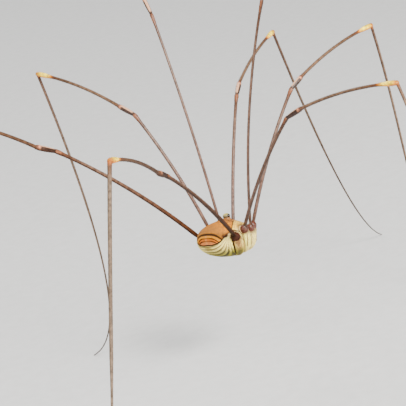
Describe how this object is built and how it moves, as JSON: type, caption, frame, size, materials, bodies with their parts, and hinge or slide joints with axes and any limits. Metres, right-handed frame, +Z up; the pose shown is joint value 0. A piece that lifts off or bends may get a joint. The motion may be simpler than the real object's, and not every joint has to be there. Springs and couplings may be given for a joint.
{
  "type": "harvestman",
  "caption": "Life-size harvestman standing on long thin legs, its small oval body slung low between high knees, second legs raised as feelers.",
  "frame": {"origin": "on the floor under the middle of the bounding box", "axes": "+X the way the animal faces, +Y its left, +Z up"},
  "size_m": [0.0938, 0.1344, 0.0497],
  "materials": {
    "back": "fine-grained matt orange-tan skin with dark grooves",
    "front": "pale cream skin, satin, with fine folds",
    "eye": "glossy black",
    "trochanter": "smooth dark red-brown, semi-gloss",
    "femur": "reddish brown, fine bristles, satin",
    "patella": "dark grey-brown, satin",
    "tibia": "brown, cream-yellow at the far end, satin",
    "shin": "beige-brown, thin, satin"
  },
  "bodies": {
    "root": {"prosoma": "front", "abdomen": "back", "ocularium": "front", "eye_left": "eye", "eye_right": "eye", "chelicera_left": "front", "chelicera_right": "front", "pedipalp_left": "femur", "pedipalp_right": "femur", "leg_left_1_trochanter": "trochanter", "leg_left_1_femur": "femur", "leg_left_1_patella": "patella", "leg_left_1_tibia": "tibia", "leg_left_1_metatarsus": "shin", "leg_left_1_tarsus": "shin", "leg_left_2_trochanter": "trochanter", "leg_left_2_femur": "femur", "leg_left_2_patella": "patella", "leg_left_2_tibia": "tibia", "leg_left_2_metatarsus": "shin", "leg_left_2_tarsus": "shin", "leg_left_3_trochanter": "trochanter", "leg_left_3_femur": "femur", "leg_left_3_patella": "patella", "leg_left_3_tibia": "tibia", "leg_left_3_metatarsus": "shin", "leg_left_3_tarsus": "shin", "leg_left_4_trochanter": "trochanter", "leg_left_4_femur": "femur", "leg_left_4_patella": "patella", "leg_left_4_tibia": "tibia", "leg_left_4_metatarsus": "shin", "leg_left_4_tarsus": "shin", "leg_right_1_trochanter": "trochanter", "leg_right_1_femur": "femur", "leg_right_1_patella": "patella", "leg_right_1_tibia": "tibia", "leg_right_1_metatarsus": "shin", "leg_right_1_tarsus": "shin", "leg_right_2_trochanter": "trochanter", "leg_right_2_femur": "femur", "leg_right_2_patella": "patella", "leg_right_2_tibia": "tibia", "leg_right_2_metatarsus": "shin", "leg_right_2_tarsus": "shin", "leg_right_3_trochanter": "trochanter", "leg_right_3_femur": "femur", "leg_right_3_patella": "patella", "leg_right_3_tibia": "tibia", "leg_right_3_metatarsus": "shin", "leg_right_3_tarsus": "shin", "leg_right_4_trochanter": "trochanter", "leg_right_4_femur": "femur", "leg_right_4_patella": "patella", "leg_right_4_tibia": "tibia", "leg_right_4_metatarsus": "shin", "leg_right_4_tarsus": "shin"}
  },
  "joints": []
}
